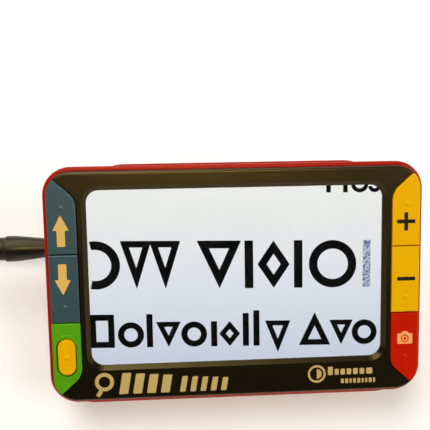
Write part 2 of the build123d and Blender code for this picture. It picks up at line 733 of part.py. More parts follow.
# From the strain relief, down to the table and round into the coil's outermost turn.
CORD_ROUTE = [
    (exit_point.X, exit_point.Y, exit_point.Z),
    (-117.0, 8.3, 29.9),
    (-129.5, 8.6, 24.0),
    (-141.5, 8.0, 14.0),
    (-152.0, 3.5, 6.2),
    (-159.5, -6.5, 2.7),
    (COIL_X - COIL_OUTER - 0.2, -18.0, FLOOR_Z),
    (COIL_X - COIL_OUTER, COIL_Y, FLOOR_Z),
]


def arc_radii(points):
    """Radius of the arc at each inner point: 0.45 of the shorter run over the half turn's tangent."""
    radii = []
    for before, here, after in zip(points, points[1:], points[2:]):
        run_in = Vector(*here) - Vector(*before)
        run_out = Vector(*after) - Vector(*here)
        half_turn = radians(run_in.get_angle(run_out)) / 2
        radii.append(0.45 * min(run_in.length, run_out.length) / tan(half_turn))
    return radii


def cord_tube(points, label):
    """Round cord along straight runs joined by tangent arcs; prints its radii and checks its volume."""
    radii = arc_radii(points)
    with BuildPart() as tube:
        with BuildLine():
            route = FilletPolyline(*points, radius=radii)
        with BuildSketch(Plane(origin=route @ 0, z_dir=route % 0)):
            Circle(CORD_R)
        sweep()
    length = route.length
    print(label, "length", round(length, 1), "radii", [round(r, 1) for r in radii])
    print(label, "volume over section x length", round(tube.part.volume / (pi * CORD_R**2 * length), 4))
    finish(tube, label)
    return length


tube_length = cord_tube(CORD_ROUTE, "power_cord")
coil_length = 2 * pi * COIL_MID_R * COIL_TURNS
print("coil", round(coil_length, 1))

with BuildPart() as cord_coil:
    with BuildSketch(TABLE.offset(TIE_T)):
        with Locations((COIL_X, COIL_Y)):
            Circle(COIL_R_OUT)
            Circle(COIL_R_IN, mode=Mode.SUBTRACT)
    extrude(amount=COIL_H)
    fillet(cord_coil.edges().filter_by(GeomType.CIRCLE), 1.2)
finish(cord_coil, "cord_coil")

# Strap round the bundle, on the side away from the device's plug.
TIE_W = 9.0
tie_mid = COIL_Y + COIL_MID_R
with BuildPart() as cord_tie:
    with BuildSketch(Plane.YZ.offset(COIL_X - TIE_W / 2)):
        with Locations((tie_mid, TIE_T + COIL_H / 2)):
            RectangleRounded(COIL_COLUMNS * CORD_D + 2 * TIE_T, COIL_H + 2 * TIE_T, 1.6)
            RectangleRounded(COIL_COLUMNS * CORD_D, COIL_H, 1.0, mode=Mode.SUBTRACT)
    extrude(amount=TIE_W)
finish(cord_tie, "cord_tie")

# The far end: the cord turns in over the coil, and its plug lies on the top turns.
USB_MOULD = (20.0, 15.6, 7.6)
USB_SHELL = (14.0, 12.0, 4.5)
SHELL_T = 0.35
USB_RELIEF_L = 9.0
west = COIL_X - COIL_OUTER
USB_X = west + 17.9 + USB_RELIEF_L   # back of the moulding
USB_Y = COIL_Y - 16.0
USB_Z = COIL_TOP + USB_MOULD[2] / 2

TAIL_ROUTE = [
    (west, COIL_Y + 5.0, COIL_TOP - CORD_R),
    (west + 0.1, COIL_Y - 3.0, COIL_TOP - CORD_R + 0.4),
    (west + 3.3, COIL_Y - 10.4, COIL_TOP + 1.1),
    (west + 9.7, COIL_Y - 15.4, COIL_TOP + 3.0),
    (west + 17.9, USB_Y, USB_Z),
]
tail_length = cord_tube(TAIL_ROUTE, "cord_tail")
print("cord in all", round(tube_length + coil_length + tail_length, 1))


def usb_section(x):
    return Plane(origin=(x, USB_Y, USB_Z), x_dir=(0, 1, 0), z_dir=(1, 0, 0))


with BuildPart() as usb_relief:
    with BuildSketch(usb_section(USB_X)):
        Circle(3.0)
    with BuildSketch(usb_section(USB_X - USB_RELIEF_L)):
        Circle(CORD_R + 0.4)
    loft()
finish(usb_relief, "usb_relief")

with BuildPart() as usb_mould:
    with BuildSketch(usb_section(USB_X)):
        RectangleRounded(USB_MOULD[1], USB_MOULD[2], 2.4)
    extrude(amount=USB_MOULD[0])
    fillet(usb_mould.faces().sort_by(Axis.X)[0].edges(), 1.4)
    fillet(usb_mould.faces().sort_by(Axis.X)[-1].edges(), 0.8)
finish(usb_mould, "usb_mould")

with BuildPart() as usb_shell:
    with BuildSketch(usb_section(USB_X + USB_MOULD[0])):
        RectangleRounded(USB_SHELL[1], USB_SHELL[2], 0.6)
        Rectangle(USB_SHELL[1] - 2 * SHELL_T, USB_SHELL[2] - 2 * SHELL_T, mode=Mode.SUBTRACT)
    extrude(amount=USB_SHELL[0])
    # two latch windows in the upper and lower wall
    with BuildSketch(Plane.XY.offset(USB_Z - USB_SHELL[2])):
        with Locations((USB_X + USB_MOULD[0] + 6.2, USB_Y)):
            with GridLocations(1, 5.2, 1, 2):
                Rectangle(2.4, 2.2)
    extrude(amount=2 * USB_SHELL[2], mode=Mode.SUBTRACT)
finish(usb_shell, "usb_shell")

with BuildPart() as usb_tongue:
    with BuildSketch(usb_section(USB_X + USB_MOULD[0])):
        with Locations((0, -USB_SHELL[2] / 2 + SHELL_T + 0.95)):
            Rectangle(USB_SHELL[1] - 2 * SHELL_T - 0.1, 1.85)
    extrude(amount=USB_SHELL[0] - 0.9)
finish(usb_tongue, "usb_tongue")
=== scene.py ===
import json
from math import copysign, cos, pi, radians, sin, tau

import bmesh
import bpy
from mathutils import Matrix, Vector


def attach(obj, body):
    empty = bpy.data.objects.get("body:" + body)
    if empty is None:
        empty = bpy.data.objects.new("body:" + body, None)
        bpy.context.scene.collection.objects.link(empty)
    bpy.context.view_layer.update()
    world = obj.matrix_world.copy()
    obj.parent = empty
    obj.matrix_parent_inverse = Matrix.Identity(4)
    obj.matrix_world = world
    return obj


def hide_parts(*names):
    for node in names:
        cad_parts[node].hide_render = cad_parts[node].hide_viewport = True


# Looks of a hand-held video magnifier that leans back on its fold-out stand.

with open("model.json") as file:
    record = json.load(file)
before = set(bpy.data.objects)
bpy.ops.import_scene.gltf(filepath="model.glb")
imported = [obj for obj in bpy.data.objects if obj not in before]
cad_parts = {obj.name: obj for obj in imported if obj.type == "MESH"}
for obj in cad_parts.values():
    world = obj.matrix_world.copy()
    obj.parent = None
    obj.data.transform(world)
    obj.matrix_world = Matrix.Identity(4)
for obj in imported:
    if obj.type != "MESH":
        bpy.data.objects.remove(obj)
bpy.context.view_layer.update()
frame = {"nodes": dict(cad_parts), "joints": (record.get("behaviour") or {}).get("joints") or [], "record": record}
nodes = frame["nodes"]

# ---------------------------------------------------------------- the device's own frame
# Millimetres: X to the right, Y up the screen, Z out of the screen from the casing's back.
TILT = radians(25.0)
HINGE = Vector((0, 33.0, 2.9))
LEAN = Matrix.Rotation(TILT, 4, "X") @ Matrix.Scale(0.001, 4)
hinge_pos = next(j for j in frame["joints"] if j["name"] == "stand_hinge")["pos_m"]
DEVICE = Matrix.Translation(Vector(hinge_pos) - LEAN @ HINGE) @ LEAN


def device(x, y, z):
    """A point of the device's own frame, in the row frame, in metres."""
    return DEVICE @ Vector((x, y, z))


# ---------------------------------------------------------------- camera
CAMERA_PLACE = Vector((-0.02004, -0.05555, 0.25216))
CAMERA_RIGHT = Vector((0.9981, -0.0403, 0.0458))
CAMERA_UP = Vector((0.0233, 0.9454, 0.3249))
CAMERA_BACK = Vector((-0.0564, -0.3233, 0.9446))

cam_data = bpy.data.cameras.new("camera")
cam_data.sensor_width = 36
cam_data.lens = 50.23
cam_data.clip_start = 0.01
camera = bpy.data.objects.new("camera", cam_data)
bpy.context.scene.collection.objects.link(camera)
pose = Matrix((CAMERA_RIGHT, CAMERA_UP, CAMERA_BACK)).transposed().to_4x4()
pose.translation = CAMERA_PLACE
camera.matrix_world = pose
bpy.context.scene.camera = camera
bpy.context.scene.view_settings.view_transform = "Standard"

# ---------------------------------------------------------------- cord
CORD_D = 0.0036
RELIEF_END = -107.0
PLUG_Y = 13.2
PLUG_Z = 9.0
cord_exit = device(RELIEF_END, PLUG_Y, PLUG_Z)
CORD_ROUTE = [
    tuple(cord_exit),
    (-0.1170, 0.0083, 0.0299),
    (-0.1295, 0.0086, 0.0240),
    (-0.1415, 0.0080, 0.0140),
    (-0.1520, 0.0035, 0.0062),
    (-0.1595, -0.0065, 0.0027),
    (-0.1622, -0.0180, 0.0025),
]
TAIL_ROUTE = [
    (-0.1619, -0.0300, 0.0065),
    (-0.1587, -0.0374, 0.0090),
    (-0.1523, -0.0424, 0.0109),
    (-0.1441, -0.0430, 0.0117),
]
COIL = Vector((-0.133, -0.027, 0.0))
LAYER_LOW = 0.0025
LAYER_HIGH = 0.0061
TURN_OUT = 0.0284
TURN_IN = 0.0110
TURNS = 11.0
TURNS_LOW = 5.0          # wound inwards on the table
TURNS_RISE = 0.5         # climbing to the second layer
TURNS_HIGH = TURNS - TURNS_LOW - TURNS_RISE
PER_TURN = 16
TAIL_EARLY = 3           # points before a full turn at which the tail leaves the coil


def coil_point(turn):
    """Point of the coil after so many turns from its west side, counter-clockwise."""
    if turn < TURNS_LOW:
        height = LAYER_LOW
        radius = TURN_OUT + (TURN_IN - TURN_OUT) * turn / TURNS_LOW
    elif turn < TURNS_LOW + TURNS_RISE:
        height = LAYER_LOW + (LAYER_HIGH - LAYER_LOW) * (turn - TURNS_LOW) / TURNS_RISE
        radius = TURN_IN
    else:
        height = LAYER_HIGH
        radius = TURN_IN + (TURN_OUT - TURN_IN) * (turn - TURNS_LOW - TURNS_RISE) / TURNS_HIGH
    # the smooth curve runs inside its points
    radius = radius / cos(pi / PER_TURN)
    angle = pi + tau * turn
    return tuple(COIL + Vector((radius * cos(angle), radius * sin(angle), height)))


last_point = int(TURNS * PER_TURN) - TAIL_EARLY
route = CORD_ROUTE + [coil_point(k / PER_TURN) for k in range(last_point + 1)] + TAIL_ROUTE

cord_curve = bpy.data.curves.new("lead", "CURVE")
cord_curve.dimensions = "3D"
spline = cord_curve.splines.new("NURBS")
spline.points.add(len(route) - 1)
for point, place in zip(spline.points, route):
    point.co = (*place, 1)
spline.order_u = 3
spline.use_endpoint_u = True
spline.resolution_u = 6
cord_curve.bevel_depth = CORD_D / 2
cord_curve.bevel_resolution = 4
lead = bpy.data.objects.new("lead", cord_curve)
bpy.context.scene.collection.objects.link(lead)


# ---------------------------------------------------------------- finishes
def srgb(*levels):
    """A display colour from 0 to 255, as linear light."""
    made = []
    for level in levels:
        c = level / 255
        made.append(c / 12.92 if c <= 0.04045 else ((c + 0.055) / 1.055) ** 2.4)
    return tuple(made)


def scaled(colour, by):
    return tuple(min(1.0, c * by) for c in colour)


class Nodes:
    """A material and short ways to add nodes to it."""

    def __init__(self, name):
        self.material = bpy.data.materials.new(name)
        self.material.use_nodes = True
        self.tree = self.material.node_tree
        self.shader = self.tree.nodes["Principled BSDF"]
        self.coords = self.tree.nodes.new("ShaderNodeTexCoord")

    def link(self, output, socket):
        self.tree.links.new(output, socket)

    def noise(self, size_mm, detail=3.0, stretch=None):
        """Noise with features of that size, in object space."""
        node = self.tree.nodes.new("ShaderNodeTexNoise")
        node.inputs["Scale"].default_value = 1000 / size_mm
        node.inputs["Detail"].default_value = detail
        source = self.coords.outputs["Object"]
        if stretch:
            mapping = self.tree.nodes.new("ShaderNodeMapping")
            mapping.inputs["Scale"].default_value = stretch
            self.link(source, mapping.inputs["Vector"])
            source = mapping.outputs["Vector"]
        self.link(source, node.inputs["Vector"])
        return node.outputs["Fac"]

    def remap(self, value, low, high, to_low, to_high):
        """The value, moved from one range to another and held inside it."""
        node = self.tree.nodes.new("ShaderNodeMapRange")
        self.link(value, node.inputs["Value"])
        node.inputs["From Min"].default_value = low
        node.inputs["From Max"].default_value = high
        node.inputs["To Min"].default_value = to_low
        node.inputs["To Max"].default_value = to_high
        return node.outputs["Result"]

    def product(self, first, second):
        node = self.tree.nodes.new("ShaderNodeMath")
        node.operation = "MULTIPLY"
        self.link(first, node.inputs[0])
        self.link(second, node.inputs[1])
        return node.outputs[0]

    def mix(self, factor, first, second):
        """Mix of two colours, each a colour or a socket."""
        node = self.tree.nodes.new("ShaderNodeMix")
        node.data_type = "RGBA"
        self.link(factor, node.inputs["Factor"])
        for socket, value in ((node.inputs[6], first), (node.inputs[7], second)):
            if isinstance(value, tuple):
                socket.default_value = (*value, 1)
            else:
                self.link(value, socket)
        return node.outputs[2]

    def bump(self, height, strength, depth_mm):
        node = self.tree.nodes.new("ShaderNodeBump")
        node.inputs["Strength"].default_value = strength
        node.inputs["Distance"].default_value = depth_mm / 1000
        self.link(height, node.inputs["Height"])
        return node.outputs["Normal"]

    def edges(self, radius_mm):
        """1 along rounded and sharp edges, 0 on flat faces."""
        bevel = self.tree.nodes.new("ShaderNodeBevel")
        bevel.samples = 4
        bevel.inputs["Radius"].default_value = radius_mm / 1000
        geometry = self.tree.nodes.new("ShaderNodeNewGeometry")
        dot = self.tree.nodes.new("ShaderNodeVectorMath")
        dot.operation = "DOT_PRODUCT"
        self.link(bevel.outputs["Normal"], dot.inputs[0])
        self.link(geometry.outputs["Normal"], dot.inputs[1])
        return self.remap(dot.outputs["Value"], 0.995, 0.86, 0.0, 1.0)


def moulded(
    name,
    colour,
    rough,
    drift=0.07,
    grain=0.12,
    grain_mm=0.45,
    depth_mm=0.03,
    wear_and_edge_highlight=None,
    spec=0.5,
    painted_sheen_tint=(1.0, 1.0, 1.0),
    uneven=0.05,
):
    """Moulded plastic: slow colour drift, fine grain, handling marks, worn edges with a painted highlight."""
    n = Nodes(name)
    base = n.mix(n.noise(22, 4), scaled(colour, 1 - drift), scaled(colour, 1 + drift))
    dust = n.remap(n.noise(1.4, 5), 0.62, 0.78, 0.0, 0.35)
    base = n.mix(dust, base, scaled(tuple(c + 0.01 for c in colour), 1 + 2 * drift))
    if wear_and_edge_highlight:
        # lighter patches along rounded edges: partly wear, partly a painted highlight
        rubbed_and_lit = n.remap(n.noise(2.5, 5), 0.35, 0.7, 0.0, 0.35)
        base = n.mix(n.product(n.edges(0.5), rubbed_and_lit), base, wear_and_edge_highlight)
    n.link(base, n.shader.inputs["Base Color"])
    gloss = n.remap(n.noise(6, 5), 0.3, 0.7, rough - uneven, rough + uneven)
    n.link(gloss, n.shader.inputs["Roughness"])
    n.link(n.bump(n.noise(grain_mm, 2), grain, depth_mm), n.shader.inputs["Normal"])
    n.shader.inputs["Specular IOR Level"].default_value = spec
    # the reflections take a painted sheen colour: warm for the lamp's light, red on the casing
    n.shader.inputs["Specular Tint"].default_value = (*painted_sheen_tint, 1)
    return n.material


def metal(name, colour, rough, stretch=None, size_mm=0.8, drift=0.12):
    """Bare metal with fine drawn or rolled marks."""
    n = Nodes(name)
    n.shader.inputs["Metallic"].default_value = 1.0
    streaks = n.noise(size_mm, 4, stretch)
    shade = n.mix(streaks, scaled(colour, 1 - drift), scaled(colour, 1 + drift))
    n.link(shade, n.shader.inputs["Base Color"])
    gloss = n.remap(streaks, 0.3, 0.7, rough - drift / 2, rough + drift / 2)
    n.link(gloss, n.shader.inputs["Roughness"])
    n.link(n.bump(streaks, 0.08, 0.02), n.shader.inputs["Normal"])
    return n.material


def clear(name, colour, rough, ior, haze):
    """Clear or frosted moulding, with faint wiping marks in its gloss."""
    n = Nodes(name)
    n.shader.inputs["Transmission Weight"].default_value = 1.0
    n.shader.inputs["IOR"].default_value = ior
    wipes = n.noise(7, 5, (1.0, 0.25, 0.25))
    n.link(n.mix(wipes, scaled(colour, 0.97), colour), n.shader.inputs["Base Color"])
    n.link(n.remap(wipes, 0.35, 0.75, rough, rough + haze), n.shader.inputs["Roughness"])
    return n.material


def ink(name, colour, rough, drift=0.05, spec=0.5):
    """Printed paint, smoother than the plastic under it."""
    return moulded(name, colour, rough, drift, grain=0.1, grain_mm=0.3, depth_mm=0.02, spec=spec)


WARM = (1.0, 0.7, 0.24)          # painted warm sheen of the satin plastics under the lamp, tinted into their reflections
# the lighter edge colours are partly wear and partly a painted edge highlight
PLASTICS = {
    "casing_red": dict(
        colour=srgb(154, 20, 3), rough=0.36, drift=0.08, grain=0.07,
        wear_and_edge_highlight=srgb(178, 52, 30), spec=0.3, painted_sheen_tint=(1.0, 0.4, 0.25),
    ),
    "front_black": dict(
        colour=srgb(9, 7, 4), rough=0.3, drift=0.1, grain=0.28, grain_mm=0.55, depth_mm=0.04,
        wear_and_edge_highlight=srgb(26, 19, 10), spec=0.6, painted_sheen_tint=WARM, uneven=0.012,
    ),
    "surround_green": dict(colour=srgb(78, 152, 0), rough=0.42, wear_and_edge_highlight=srgb(120, 170, 30), spec=0.2),
    "key_blue": dict(
        colour=srgb(43, 70, 76), rough=0.38, wear_and_edge_highlight=srgb(80, 104, 106), spec=0.5, uneven=0.03
    ),
    "key_yellow": dict(
        colour=srgb(224, 167, 0), rough=0.42, wear_and_edge_highlight=srgb(244, 196, 30), spec=0.15, painted_sheen_tint=WARM
    ),
    "key_red": dict(
        colour=srgb(183, 20, 0), rough=0.42, wear_and_edge_highlight=srgb(208, 54, 20), spec=0.15, painted_sheen_tint=WARM
    ),
    "screen_glass": dict(
        colour=srgb(26, 27, 30), rough=0.12, drift=0.05, grain=0.02, grain_mm=0.8, depth_mm=0.01
    ),
    "board_green": dict(
        colour=srgb(18, 88, 44), rough=0.35, drift=0.12, grain=0.2, grain_mm=1.2
    ),
    "chip_black": dict(
        colour=srgb(24, 24, 26), rough=0.5, drift=0.1, grain=0.2, grain_mm=0.3, depth_mm=0.02
    ),
    "battery_wrap": dict(
        colour=srgb(30, 74, 140), rough=0.25, drift=0.06, grain=0.1, grain_mm=3.0, depth_mm=0.05
    ),
    "ribbon_film": dict(
        colour=srgb(196, 132, 52), rough=0.25, drift=0.08, grain=0.05, grain_mm=1.0, depth_mm=0.02
    ),
    "lamp_white": dict(colour=srgb(232, 228, 210), rough=0.4),
    "rubber_black": dict(
        colour=srgb(30, 29, 28), rough=0.72, drift=0.14, grain=0.4, grain_mm=0.35, depth_mm=0.06
    ),
    "plug_black": dict(
        colour=srgb(16, 13, 10), rough=0.36, drift=0.12, grain=0.16, grain_mm=0.6, depth_mm=0.04,
        wear_and_edge_highlight=srgb(38, 31, 22), spec=0.4, painted_sheen_tint=(1.0, 0.82, 0.5),
    ),
    "cord_black": dict(
        colour=srgb(24, 23, 21), rough=0.46, drift=0.14, grain=0.2, grain_mm=0.5, depth_mm=0.04
    ),
    "usb_white": dict(colour=srgb(226, 226, 220), rough=0.4),
}
METALS = {
    "panel_metal": dict(colour=(0.6, 0.6, 0.62), rough=0.3, stretch=(1.0, 0.08, 0.08)),
    "switch_metal": dict(colour=(0.6, 0.6, 0.58), rough=0.3),
    "steel": dict(colour=(0.42, 0.42, 0.42), rough=0.28, size_mm=0.5),
    "plug_nickel": dict(colour=(0.72, 0.69, 0.64), rough=0.16, size_mm=0.6),
    "usb_steel": dict(
        colour=(0.72, 0.72, 0.72), rough=0.24, stretch=(0.04, 1.0, 1.0), size_mm=0.4, drift=0.03
    ),
}
CLEARS = {
    "window_clear": dict(colour=(0.97, 0.98, 0.98), rough=0.02, ior=1.49, haze=0.03),
    "lens_glass": dict(colour=(0.72, 0.78, 0.95), rough=0.01, ior=1.6, haze=0.01),
    "lamp_diffuser": dict(colour=(0.96, 0.96, 0.9), rough=0.35, ior=1.49, haze=0.1),
}
finishes = {name: moulded(name, **look) for name, look in PLASTICS.items()}
finishes.update({name: metal(name, **look) for name, look in METALS.items()})
finishes.update({name: clear(name, **look) for name, look in CLEARS.items()})


def paint(obj, finish):
    """Puts a finish on a piece."""
    obj.data.materials.clear()
    obj.data.materials.append(finish)


for subpart in frame["record"]["subparts"]:
    slot_name = subpart["material_slot"]
    if slot_name in finishes and subpart["node"] in nodes:
        paint(nodes[subpart["node"]], finishes[slot_name])

paint(lead, finishes["cord_black"])
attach(lead, "power_lead")
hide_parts("power_cord", "cord_coil", "cord_tail")


# ---------------------------------------------------------------- outlines, in device millimetres
def circle(x, y, r, points=56):
    return [(x + r * cos(tau * k / points), y + r * sin(tau * k / points)) for k in range(points)]


def rounded(corners, radius, steps=5):
    """The outline with each corner rounded off."""
    made = []
    for index, corner in enumerate(corners):
        here = Vector(corner)
        before = Vector(corners[index - 1]) - here
        after = Vector(corners[(index + 1) % len(corners)]) - here
        cut = min(radius, before.length * 0.45, after.length * 0.45)
        start = here + before.normalized() * cut
        end = here + after.normalized() * cut
        for k in range(steps + 1):
            t = k / steps
            point = start * (1 - t) ** 2 + here * 2 * t * (1 - t) + end * t**2
            made.append(tuple(point))
    return made


def box(x0, y0, x1, y1, radius=0.2):
    return rounded([(x0, y0), (x1, y0), (x1, y1), (x0, y1)], radius)


def slanted(x0, x1, low, high, slant=0.18, radius=0.35):
    """A bar that leans to the right."""
    lean = slant * (high - low)
    return rounded([(x0, low), (x1, low), (x1 + lean, high), (x0 + lean, high)], radius)


def band(x, y, outer, inner, start, end, points=40):
    """Part of a ring, angles in degrees."""
    angles = [radians(start + (end - start) * k / points) for k in range(points + 1)]
    outside = [(x + outer * cos(a), y + outer * sin(a)) for a in angles]
    inside = [(x + inner * cos(a), y + inner * sin(a)) for a in reversed(angles)]
    return outside + inside


def moved(corners, x, y=0.0):
    return [(a + x, b + y) for a, b in corners]


def grown(corners, by):
    """A convex outline, counter-clockwise, moved outwards by a distance."""
    made = []
    for index, corner in enumerate(corners):
        here = Vector(corner)
        along_in = (here - Vector(corners[index - 1])).normalized()
        along_out = (Vector(corners[(index + 1) % len(corners)]) - here).normalized()
        out_in = Vector((along_in.y, -along_in.x))
        out_out = Vector((along_out.y, -along_out.x))
        shift = (out_in + out_out) / (1 + out_in.dot(out_out))
        made.append(tuple(here + shift * by))
    return made


def frame_of(corners, stroke, radius=0.3):
    """An outline drawn with a stroke inside a convex shape: its outside and its hole."""
    return [rounded(corners, radius), rounded(grown(corners, -stroke), radius / 2)]


def filled(shapes, z, thickness):
    """Mesh of flat shapes, each a list of an outline and its holes, in the device's frame."""
    joined = bmesh.new()
    for loops in shapes:
        curve = bpy.data.curves.new("outline", "CURVE")
        curve.dimensions = "2D"
        curve.fill_mode = "BOTH"
        curve.extrude = thickness / 2
        for loop in loops:
            outline = curve.splines.new("POLY")
            outline.points.add(len(loop) - 1)
            for point, (x, y) in zip(outline.points, loop):
                point.co = (x, y, 0, 1)
            outline.use_cyclic_u = True
        holder = bpy.data.objects.new("outline", curve)
        flat = bpy.data.meshes.new_from_object(holder)
        joined.from_mesh(flat)
        bpy.data.objects.remove(holder)
        bpy.data.curves.remove(curve)
        bpy.data.meshes.remove(flat)
    bmesh.ops.remove_doubles(joined, verts=joined.verts, dist=0.001)
    joined.transform(DEVICE @ Matrix.Translation((0, 0, z)))
    mesh = bpy.data.meshes.new("flat")
    joined.to_mesh(mesh)
    joined.free()
    return mesh


def add_piece(name, mesh, finish, body, smooth=False):
    """A finished mesh as a piece of the object that moves with a body."""
    mesh.name = name
    obj = bpy.data.objects.new(name, mesh)
    bpy.context.scene.collection.objects.link(obj)
    paint(obj, finish)
    if smooth:
        for polygon in mesh.polygons:
            polygon.use_smooth = True
    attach(obj, body)
    return obj


INK = 0.03               # thickness of a print
INK_LIFT = 0.005         # its height over the face
KEY_TOP = 22.6
FRONT_TOP = 22.4


def printed(name, shapes, top, finish, body):
    """A print lying on a face."""
    return add_piece(name, filled(shapes, top + INK / 2 + INK_LIFT, INK), finish, body)


# ---------------------------------------------------------------- marks on the keys
cream_ink = ink("cream_ink", srgb(212, 172, 84), 0.5)
black_ink = ink("black_ink", srgb(12, 10, 7), 0.6, spec=0.2)
amber_ink = ink("amber_ink", srgb(240, 158, 86), 0.5)
gold_ink = ink("gold_ink", srgb(186, 160, 96), 0.4, drift=0.06)

ARROW_X = -63.05
ARROW_ROUND = 0.35
up_arrow = [
    (-1.45, 15.5), (1.45, 15.5), (1.45, 21.3), (2.9, 21.3), (0, 26.9), (-2.9, 21.3), (-1.45, 21.3)
]
down_arrow = [(-1.5, 9.2), (-1.5, 3.4), (-2.9, 3.4), (0, -2.1), (2.9, 3.4), (1.5, 3.4), (1.5, 9.2)]
up_shape = rounded(moved(up_arrow, ARROW_X), ARROW_ROUND)
down_shape = rounded(moved(down_arrow, ARROW_X), ARROW_ROUND)
printed("up_mark", [[up_shape]], KEY_TOP, cream_ink, "colour_up_key")
printed("down_mark", [[down_shape]], KEY_TOP, cream_ink, "colour_down_key")

PLUS = (62.6, 21.7)
MINUS = (62.95, 0.25)
HALF_BAR = 3.4
HALF_STROKE = 0.7
BAR_ROUND = 0.15
plus_cross = [
    (-HALF_BAR, -HALF_STROKE),
    (-HALF_STROKE, -HALF_STROKE),
    (-HALF_STROKE, -HALF_BAR),
    (HALF_STROKE, -HALF_BAR),
    (HALF_STROKE, -HALF_STROKE),
    (HALF_BAR, -HALF_STROKE),
    (HALF_BAR, HALF_STROKE),
    (HALF_STROKE, HALF_STROKE),
    (HALF_STROKE, HALF_BAR),
    (-HALF_STROKE, HALF_BAR),
    (-HALF_STROKE, HALF_STROKE),
    (-HALF_BAR, HALF_STROKE),
]
plus_shape = rounded(moved(plus_cross, *PLUS), BAR_ROUND)
minus_shape = moved(box(-HALF_BAR, -HALF_STROKE, HALF_BAR, HALF_STROKE, BAR_ROUND), *MINUS)
printed("plus_mark", [[plus_shape]], KEY_TOP, black_ink, "zoom_in_key")
printed("minus_mark", [[minus_shape]], KEY_TOP, black_ink, "zoom_out_key")

# a small camera, with its lens as a ring
ICON_X = 62.8
ICON_LOW = -24.65
ICON_HIGH = -20.6
ICON_HALF = 2.9
HUMP = 0.8
HUMP_FOOT = 1.35
HUMP_TOP = 0.95
camera_body = [
    (ICON_X - ICON_HALF, ICON_LOW),
    (ICON_X + ICON_HALF, ICON_LOW),
    (ICON_X + ICON_HALF, ICON_HIGH),
    (ICON_X + HUMP_FOOT, ICON_HIGH),
    (ICON_X + HUMP_TOP, ICON_HIGH + HUMP),
    (ICON_X - HUMP_TOP, ICON_HIGH + HUMP),
    (ICON_X - HUMP_FOOT, ICON_HIGH),
    (ICON_X - ICON_HALF, ICON_HIGH),
]
lens_y = (ICON_LOW + ICON_HIGH) / 2
camera_shapes = [
    [rounded(camera_body, 0.5), circle(ICON_X, lens_y, 1.5)],
    [circle(ICON_X, lens_y, 1.1), circle(ICON_X, lens_y, 0.55)],
]
printed("camera_mark", camera_shapes, KEY_TOP, amber_ink, "freeze_key")

# ---------------------------------------------------------------- gold pictograms on the front
# Bottom left: a magnifying glass, then bars that grow smaller.
GOLD_LOW = -40.0
GOLD_HIGH = -32.0
GOLD_MID = -35.2
GLASS_X = -49.6
TALL_BARS = (-44.4, -39.3, -34.2, -29.1)
LOW_BARS = (-22.0, -18.2, -14.4, -10.6, -6.8)
left_mark = [
    [circle(GLASS_X, GOLD_MID, 3.5), circle(GLASS_X, GOLD_MID, 2.1)],
    [rounded([(-52.9, -40.2), (-51.6, -41.0), (-50.2, -38.9), (-51.5, -38.1)], 0.4)],
]
for index, x in enumerate(TALL_BARS):
    left_mark.append([slanted(x, x + 3.3, GOLD_LOW, GOLD_HIGH - 0.4 * index)])
for index, x in enumerate(LOW_BARS):
    left_mark.append([slanted(x, x + 2.1, GOLD_LOW, GOLD_HIGH - 2.0 - 0.25 * index)])
printed("gold_bars", left_mark, FRONT_TOP, gold_ink, "casing")


def bar_row(x, widths, gap, low, high, radius):
    """Upright bars side by side, from x to the right."""
    made = []
    for width in widths:
        made.append([box(x, low, x + width, high, radius)])
        x += width + gap
    return made


# Bottom right: a contrast sign, then two rows of short bars, the upper one led by a taller bar.
SIGN_X = 29.4
right_mark = [
    [circle(SIGN_X, GOLD_MID, 3.4), circle(SIGN_X, GOLD_MID, 2.6)],
    [band(SIGN_X, GOLD_MID, 1.9, 0.0, -90, 90)],
    [box(33.6, -35.8, 35.5, -32.6, 0.35)],
]
right_mark += bar_row(36.2, (1.5, 1.7, 1.7, 1.8, 1.8, 2.4), 0.7, -35.8, -33.5, 0.35)
right_mark += bar_row(38.6, (1.1, 1.1, 0.8, 1.1, 1.1, 0.8, 0.8, 1.1, 0.8), 0.55, -39.2, -37.4, 0.25)
printed("gold_lines", right_mark, FRONT_TOP, gold_ink, "casing")

# ---------------------------------------------------------------- lit screen
SCREEN_Y = 3.05
SCREEN_W = 108.2
SCREEN_H = 64.7
UNDER_EDGE = 0.5         # how far the lit picture runs on under the front
PANEL_TOP = 19.2
PICTURE = 0.02           # thickness of the lit picture, and of the shapes on it
PICTURE_Z = PANEL_TOP + 0.02
SHAPES_Z = PANEL_TOP + 0.05
screen_right = SCREEN_W / 2
screen_low = SCREEN_Y - SCREEN_H / 2
screen_high = SCREEN_Y + SCREEN_H / 2


def lit(name, stops):
    """A lit display: light that changes up the screen, with faint blotches."""
    n = Nodes(name)
    split = n.tree.nodes.new("ShaderNodeSeparateXYZ")
    n.link(n.coords.outputs["Generated"], split.inputs[0])
    ramp = n.tree.nodes.new("ShaderNodeValToRGB")
    n.link(split.outputs["Y"], ramp.inputs["Fac"])
    elements = ramp.color_ramp.elements
    for element, (place, colour) in zip(elements, (stops[0], stops[-1])):
        element.position = place
        element.color = (*colour, 1)
    for place, colour in stops[1:-1]:
        elements.new(place).color = (*colour, 1)
    blotch = n.remap(n.noise(9, 4), 0.35, 0.7, 0.0, 0.05)
    shade = n.mix(blotch, ramp.outputs["Color"], srgb(190, 196, 205))
    n.link(shade, n.shader.inputs["Emission Color"])
    n.shader.inputs["Emission Strength"].default_value = 1.0
    n.shader.inputs["Base Color"].default_value = (0.02, 0.02, 0.02, 1)
    n.shader.inputs["Roughness"].default_value = 0.3
    return n.material


SCREEN_STOPS = [
    (0.0, srgb(206, 213, 230)),
    (0.35, srgb(226, 231, 240)),
    (0.7, srgb(240, 242, 243)),
    (1.0, srgb(247, 247, 240)),
]
screen_light = lit("screen_light", SCREEN_STOPS)
picture_area = box(
    -screen_right - UNDER_EDGE,
    screen_low - UNDER_EDGE,
    screen_right + UNDER_EDGE,
    screen_high + UNDER_EDGE,
    2.0,
)
picture_mesh = filled([[picture_area]], PICTURE_Z, PICTURE)
add_piece("screen_picture", picture_mesh, screen_light, "casing")

